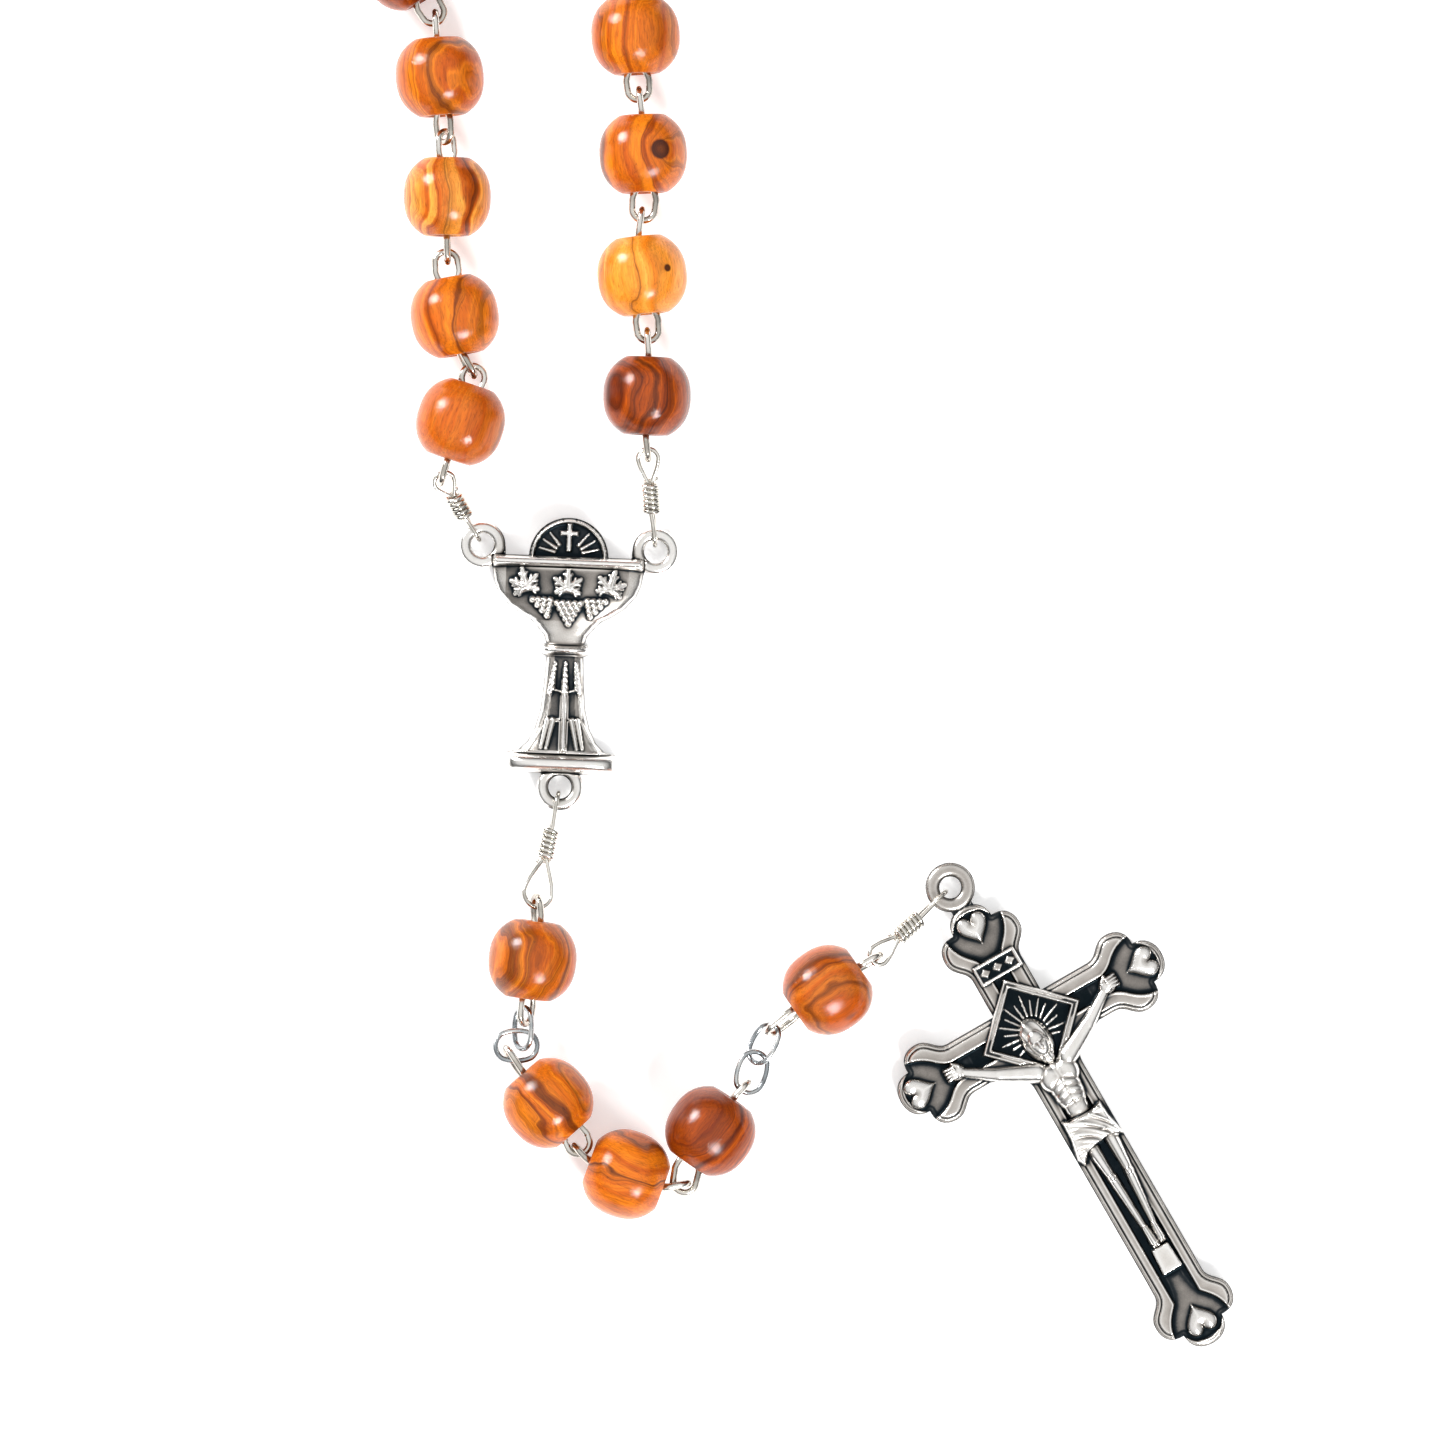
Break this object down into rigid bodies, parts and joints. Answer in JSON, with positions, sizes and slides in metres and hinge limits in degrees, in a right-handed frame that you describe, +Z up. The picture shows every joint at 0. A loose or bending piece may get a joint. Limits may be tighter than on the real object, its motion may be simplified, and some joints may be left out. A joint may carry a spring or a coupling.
{
  "type": "rosary",
  "caption": "Rosary of olive wood barrel beads on eye pins, with a chalice centrepiece, chain rings, wire-wrapped connectors and a crucifix, laid flat.",
  "frame": {"origin": "on the flat back of the centrepiece, behind the middle of the chalice's rim", "axes": "+Z up out of the table, from the back of the centrepiece to its front; +Y up the chalice's stem towards the loop of beads; +X to the right"},
  "size_m": [0.1752, 0.3104, 0.008],
  "materials": {
    "olive_wood": "lacquered",
    "link_wire": "polished nickel",
    "bright_wire": "polished silver plate",
    "antique_silver": "antiqued, dark in the recesses"
  },
  "bodies": {
    "centrepiece": {"centrepiece": "antique_silver"},
    "wire_wrap_left": {"wire_wrap_left": "bright_wire"},
    "eye_pin_left_1": {"eye_pin_left_1": "link_wire"},
    "bead_left_1": {"bead_left_1": "olive_wood"},
    "eye_pin_left_2": {"eye_pin_left_2": "link_wire"},
    "bead_left_2": {"bead_left_2": "olive_wood"},
    "eye_pin_left_3": {"eye_pin_left_3": "link_wire"},
    "bead_left_3": {"bead_left_3": "olive_wood"},
    "eye_pin_left_4": {"eye_pin_left_4": "link_wire"},
    "bead_left_4": {"bead_left_4": "olive_wood"},
    "decade_start_left": {"decade_start_left": "olive_wood"},
    "decade_end_left": {"decade_end_left": "olive_wood"},
    "our_father_low_left": {"our_father_low_left": "olive_wood"},
    "next_decade_start_left": {"next_decade_start_left": "olive_wood"},
    "next_decade_end_left": {"next_decade_end_left": "olive_wood"},
    "our_father_high_left": {"our_father_high_left": "olive_wood"},
    "top_decade_left": {"top_decade_left": "olive_wood"},
    "wire_wrap_right": {"wire_wrap_right": "bright_wire"},
    "eye_pin_right_1": {"eye_pin_right_1": "link_wire"},
    "bead_right_1": {"bead_right_1": "olive_wood"},
    "eye_pin_right_2": {"eye_pin_right_2": "link_wire"},
    "bead_right_2": {"bead_right_2": "olive_wood"},
    "eye_pin_right_3": {"eye_pin_right_3": "link_wire"},
    "bead_right_3": {"bead_right_3": "olive_wood"},
    "eye_pin_right_4": {"eye_pin_right_4": "link_wire"},
    "bead_right_4": {"bead_right_4": "olive_wood"},
    "decade_start_right": {"decade_start_right": "olive_wood"},
    "decade_end_right": {"decade_end_right": "olive_wood"},
    "our_father_low_right": {"our_father_low_right": "olive_wood"},
    "next_decade_start_right": {"next_decade_start_right": "olive_wood"},
    "next_decade_end_right": {"next_decade_end_right": "olive_wood"},
    "our_father_high_right": {"our_father_high_right": "olive_wood"},
    "top_decade_right": {"top_decade_right": "olive_wood"},
    "wire_wrap_pendant": {"wire_wrap_pendant": "bright_wire"},
    "eye_pin_pendant_1": {"eye_pin_pendant_1": "link_wire"},
    "bead_pendant_1": {"bead_pendant_1": "olive_wood"},
    "chain_ring_1": {"chain_ring_1": "link_wire"},
    "chain_ring_2": {"chain_ring_2": "link_wire"},
    "eye_pin_pendant_2": {"eye_pin_pendant_2": "link_wire"},
    "bead_pendant_2": {"bead_pendant_2": "olive_wood"},
    "eye_pin_pendant_3": {"eye_pin_pendant_3": "link_wire"},
    "bead_pendant_3": {"bead_pendant_3": "olive_wood"},
    "eye_pin_pendant_4": {"eye_pin_pendant_4": "link_wire"},
    "bead_pendant_4": {"bead_pendant_4": "olive_wood"},
    "chain_ring_3": {"chain_ring_3": "link_wire"},
    "chain_ring_4": {"chain_ring_4": "link_wire"},
    "eye_pin_pendant_5": {"eye_pin_pendant_5": "link_wire"},
    "bead_pendant_5": {"bead_pendant_5": "olive_wood"},
    "wire_wrap_crucifix": {"wire_wrap_crucifix": "bright_wire"},
    "crucifix": {"crucifix": "antique_silver"}
  },
  "joints": [
    {"name": "swing_left", "type": "hinge", "parent": "centrepiece", "child": "wire_wrap_left", "pos_m": [-0.00784, 0.0016, 0.0014], "axis": [0, 0, 1], "range_deg": [-8, 8]},
    {"name": "swing_left_1", "type": "hinge", "parent": "wire_wrap_left", "child": "eye_pin_left_1", "pos_m": [-0.01159, 0.00712, 0.004], "axis": [0, 0, 1], "range_deg": [-16.01, 16.01]},
    {"name": "bead_left_1_spin", "type": "hinge", "parent": "eye_pin_left_1", "child": "bead_left_1", "pos_m": [-0.0098, 0.01275, 0.004], "axis": [0.3156, 0.9489, 0], "continuous": true},
    {"name": "swing_left_2", "type": "hinge", "parent": "eye_pin_left_1", "child": "eye_pin_left_2", "pos_m": [-0.00849, 0.01693, 0.004], "axis": [0, 0, 1], "range_deg": [-16.01, 16.01]},
    {"name": "bead_left_2_spin", "type": "hinge", "parent": "eye_pin_left_2", "child": "bead_left_2", "pos_m": [-0.0103, 0.02235, 0.004], "axis": [-0.1736, 0.9848, 0], "continuous": true},
    {"name": "swing_left_3", "type": "hinge", "parent": "eye_pin_left_2", "child": "eye_pin_left_3", "pos_m": [-0.01095, 0.02725, 0.004], "axis": [0, 0, 1], "range_deg": [-16.01, 16.01]},
    {"name": "bead_left_3_spin", "type": "hinge", "parent": "eye_pin_left_3", "child": "bead_left_3", "pos_m": [-0.011, 0.0332, 0.004], "axis": [0, 1, 0], "continuous": true},
    {"name": "swing_left_4", "type": "hinge", "parent": "eye_pin_left_3", "child": "eye_pin_left_4", "pos_m": [-0.01115, 0.03816, 0.004], "axis": [0, 0, 1], "range_deg": [-16.01, 16.01]},
    {"name": "bead_left_4_spin", "type": "hinge", "parent": "eye_pin_left_4", "child": "bead_left_4", "pos_m": [-0.01165, 0.0441, 0.004], "axis": [-0.0698, 0.9976, 0], "continuous": true},
    {"name": "swing_decade_start_left", "type": "hinge", "parent": "eye_pin_left_4", "child": "decade_start_left", "pos_m": [-0.01207, 0.05004, 0.004], "axis": [0, 0, 1], "range_deg": [-16.01, 16.01]},
    {"name": "swing_decade_end_left", "type": "hinge", "parent": "decade_start_left", "child": "decade_end_left", "pos_m": [-0.02913, 0.07799, 0.004], "axis": [0, 0, 1], "range_deg": [-16.01, 16.01]},
    {"name": "swing_our_father_low_left", "type": "hinge", "parent": "decade_end_left", "child": "our_father_low_left", "pos_m": [-0.05762, 0.09417, 0.004], "axis": [0, 0, 1], "range_deg": [-16.01, 16.01]},
    {"name": "swing_next_decade_start_left", "type": "hinge", "parent": "our_father_low_left", "child": "next_decade_start_left", "pos_m": [-0.07485, 0.10873, 0.004], "axis": [0, 0, 1], "range_deg": [-16.01, 16.01]},
    {"name": "swing_next_decade_end_left", "type": "hinge", "parent": "next_decade_start_left", "child": "next_decade_end_left", "pos_m": [-0.08492, 0.16237, 0.004], "axis": [0, 0, 1], "range_deg": [-15.37, 15.37]},
    {"name": "swing_our_father_high_left", "type": "hinge", "parent": "next_decade_end_left", "child": "our_father_high_left", "pos_m": [-0.07433, 0.21587, 0.004], "axis": [0, 0, 1], "range_deg": [-15.37, 15.37]},
    {"name": "swing_top_decade_left", "type": "hinge", "parent": "our_father_high_left", "child": "top_decade_left", "pos_m": [-0.05703, 0.2305, 0.004], "axis": [0, 0, 1], "range_deg": [-6.97, 6.97]},
    {"name": "swing_right", "type": "hinge", "parent": "centrepiece", "child": "wire_wrap_right", "pos_m": [0.00794, 0.001, 0.0014], "axis": [0, 0, 1], "range_deg": [-8, 8]},
    {"name": "swing_right_1", "type": "hinge", "parent": "wire_wrap_right", "child": "eye_pin_right_1", "pos_m": [0.00731, 0.0093, 0.004], "axis": [0, 0, 1], "range_deg": [-16.01, 16.01]},
    {"name": "bead_right_1_spin", "type": "hinge", "parent": "eye_pin_right_1", "child": "bead_right_1", "pos_m": [0.0072, 0.0151, 0.004], "axis": [0.0436, 0.999, 0], "continuous": true},
    {"name": "swing_right_2", "type": "hinge", "parent": "eye_pin_right_1", "child": "eye_pin_right_2", "pos_m": [0.00721, 0.02108, 0.004], "axis": [0, 0, 1], "range_deg": [-16.01, 16.01]},
    {"name": "bead_right_2_spin", "type": "hinge", "parent": "eye_pin_right_2", "child": "bead_right_2", "pos_m": [0.00675, 0.02605, 0.004], "axis": [-0.1045, 0.9945, 0], "continuous": true},
    {"name": "swing_right_3", "type": "hinge", "parent": "eye_pin_right_2", "child": "eye_pin_right_3", "pos_m": [0.00675, 0.03206, 0.004], "axis": [0, 0, 1], "range_deg": [-16.01, 16.01]},
    {"name": "bead_right_3_spin", "type": "hinge", "parent": "eye_pin_right_3", "child": "bead_right_3", "pos_m": [0.00685, 0.0371, 0.004], "axis": [-0.0349, 0.9994, 0], "continuous": true},
    {"name": "swing_right_4", "type": "hinge", "parent": "eye_pin_right_3", "child": "eye_pin_right_4", "pos_m": [0.00645, 0.043, 0.004], "axis": [0, 0, 1], "range_deg": [-16.01, 16.01]},
    {"name": "bead_right_4_spin", "type": "hinge", "parent": "eye_pin_right_4", "child": "bead_right_4", "pos_m": [0.0061, 0.0479, 0.004], "axis": [-0.0523, 0.9986, 0], "continuous": true},
    {"name": "swing_decade_start_right", "type": "hinge", "parent": "eye_pin_right_4", "child": "decade_start_right", "pos_m": [0.00579, 0.05384, 0.004], "axis": [0, 0, 1], "range_deg": [-16.01, 16.01]},
    {"name": "swing_decade_end_right", "type": "hinge", "parent": "decade_start_right", "child": "decade_end_right", "pos_m": [0.02291, 0.0818, 0.004], "axis": [0, 0, 1], "range_deg": [-16.01, 16.01]},
    {"name": "swing_our_father_low_right", "type": "hinge", "parent": "decade_end_right", "child": "our_father_low_right", "pos_m": [0.05141, 0.09797, 0.004], "axis": [0, 0, 1], "range_deg": [-16.01, 16.01]},
    {"name": "swing_next_decade_start_right", "type": "hinge", "parent": "our_father_low_right", "child": "next_decade_start_right", "pos_m": [0.06863, 0.11254, 0.004], "axis": [0, 0, 1], "range_deg": [-16.01, 16.01]},
    {"name": "swing_next_decade_end_right", "type": "hinge", "parent": "next_decade_start_right", "child": "next_decade_end_right", "pos_m": [0.08521, 0.16449, 0.004], "axis": [0, 0, 1], "range_deg": [-15.45, 15.45]},
    {"name": "swing_our_father_high_right", "type": "hinge", "parent": "next_decade_end_right", "child": "our_father_high_right", "pos_m": [0.06806, 0.21633, 0.004], "axis": [0, 0, 1], "range_deg": [-15.45, 15.45]},
    {"name": "swing_top_decade_right", "type": "hinge", "parent": "our_father_high_right", "child": "top_decade_right", "pos_m": [0.05082, 0.23097, 0.004], "axis": [0, 0, 1], "range_deg": [-6.81, 6.81]},
    {"name": "swing_pendant_wrap", "type": "hinge", "parent": "centrepiece", "child": "wire_wrap_pendant", "pos_m": [-0.00079, -0.02048, 0.0014], "axis": [0, 0, 1], "range_deg": [-25, 25]},
    {"name": "swing_pendant_1", "type": "hinge", "parent": "wire_wrap_pendant", "child": "eye_pin_pendant_1", "pos_m": [-0.00295, -0.0304, 0.004], "axis": [0, 0, -1], "range_deg": [-25, 25]},
    {"name": "bead_pendant_1_spin", "type": "hinge", "parent": "eye_pin_pendant_1", "child": "bead_pendant_1", "pos_m": [-0.0032, -0.0362, 0.004], "axis": [-0.1305, -0.9914, 0], "continuous": true},
    {"name": "swing_chain_ring_1", "type": "hinge", "parent": "eye_pin_pendant_1", "child": "chain_ring_1", "pos_m": [-0.00397, -0.042, 0.004], "axis": [0, 0, 1], "range_deg": [-25, 25]},
    {"name": "swing_chain_ring_2", "type": "hinge", "parent": "chain_ring_1", "child": "chain_ring_2", "pos_m": [-0.00417, -0.0443, 0.004], "axis": [0, 0, -1], "range_deg": [-25, 25]},
    {"name": "swing_pendant_2", "type": "hinge", "parent": "chain_ring_2", "child": "eye_pin_pendant_2", "pos_m": [-0.00567, -0.04418, 0.004], "axis": [0, 0, 1], "range_deg": [-25, 25]},
    {"name": "bead_pendant_2_spin", "type": "hinge", "parent": "eye_pin_pendant_2", "child": "bead_pendant_2", "pos_m": [-0.0018, -0.0492, 0.004], "axis": [0.66, -0.7513, 0], "continuous": true},
    {"name": "swing_pendant_3", "type": "hinge", "parent": "eye_pin_pendant_2", "child": "eye_pin_pendant_3", "pos_m": [0.00061, -0.05303, 0.004], "axis": [0, 0, -1], "range_deg": [-12, 25]},
    {"name": "bead_pendant_3_spin", "type": "hinge", "parent": "eye_pin_pendant_3", "child": "bead_pendant_3", "pos_m": [0.0053, -0.0557, 0.004], "axis": [0.9397, -0.342, 0], "continuous": true},
    {"name": "swing_pendant_4", "type": "hinge", "parent": "eye_pin_pendant_3", "child": "eye_pin_pendant_4", "pos_m": [0.01094, -0.05645, 0.004], "axis": [0, 0, 1], "range_deg": [-30, 3]},
    {"name": "bead_pendant_4_spin", "type": "hinge", "parent": "eye_pin_pendant_4", "child": "bead_pendant_4", "pos_m": [0.01295, -0.05175, 0.004], "axis": [0.565, 0.8251, 0], "continuous": true},
    {"name": "swing_chain_ring_3", "type": "hinge", "parent": "eye_pin_pendant_4", "child": "chain_ring_3", "pos_m": [0.01644, -0.04724, 0.004], "axis": [0, 0, -1], "range_deg": [-25, 25]},
    {"name": "swing_chain_ring_4", "type": "hinge", "parent": "chain_ring_3", "child": "chain_ring_4", "pos_m": [0.01726, -0.04458, 0.004], "axis": [0, 0, 1], "range_deg": [-25, 25]},
    {"name": "swing_pendant_5", "type": "hinge", "parent": "chain_ring_4", "child": "eye_pin_pendant_5", "pos_m": [0.01821, -0.04291, 0.004], "axis": [0, 0, -1], "range_deg": [-25, 25]},
    {"name": "bead_pendant_5_spin", "type": "hinge", "parent": "eye_pin_pendant_5", "child": "bead_pendant_5", "pos_m": [0.0236, -0.0389, 0.004], "axis": [0.8192, 0.5736, 0], "continuous": true},
    {"name": "swing_crucifix_wrap", "type": "hinge", "parent": "eye_pin_pendant_5", "child": "wire_wrap_crucifix", "pos_m": [0.02843, -0.03575, 0.004], "axis": [0, 0, 1], "range_deg": [-25, 25]},
    {"name": "swing_crucifix", "type": "hinge", "parent": "wire_wrap_crucifix", "child": "crucifix", "pos_m": [0.03482, -0.02964, 0.0014], "axis": [0, 0, -1], "range_deg": [-35, 15]}
  ],
  "couplings": [
    {"joint": "swing_left_1", "follows": "swing_left", "ratio": -2},
    {"joint": "swing_left_2", "follows": "swing_left", "ratio": 2},
    {"joint": "swing_left_3", "follows": "swing_left", "ratio": -2},
    {"joint": "swing_left_4", "follows": "swing_left", "ratio": 2},
    {"joint": "swing_decade_start_left", "follows": "swing_left", "ratio": -2},
    {"joint": "swing_decade_end_left", "follows": "swing_left", "ratio": 2},
    {"joint": "swing_our_father_low_left", "follows": "swing_left", "ratio": -2},
    {"joint": "swing_next_decade_start_left", "follows": "swing_left", "ratio": 2},
    {"joint": "swing_next_decade_end_left", "follows": "swing_left", "ratio": -1.92},
    {"joint": "swing_our_father_high_left", "follows": "swing_left", "ratio": 1.92},
    {"joint": "swing_top_decade_left", "follows": "swing_left", "ratio": -0.87},
    {"joint": "swing_right_1", "follows": "swing_right", "ratio": -2},
    {"joint": "swing_right_2", "follows": "swing_right", "ratio": 2},
    {"joint": "swing_right_3", "follows": "swing_right", "ratio": -2},
    {"joint": "swing_right_4", "follows": "swing_right", "ratio": 2},
    {"joint": "swing_decade_start_right", "follows": "swing_right", "ratio": -2},
    {"joint": "swing_decade_end_right", "follows": "swing_right", "ratio": 2},
    {"joint": "swing_our_father_low_right", "follows": "swing_right", "ratio": -2},
    {"joint": "swing_next_decade_start_right", "follows": "swing_right", "ratio": 2},
    {"joint": "swing_next_decade_end_right", "follows": "swing_right", "ratio": -1.93},
    {"joint": "swing_our_father_high_right", "follows": "swing_right", "ratio": 1.93},
    {"joint": "swing_top_decade_right", "follows": "swing_right", "ratio": -0.85}
  ]
}
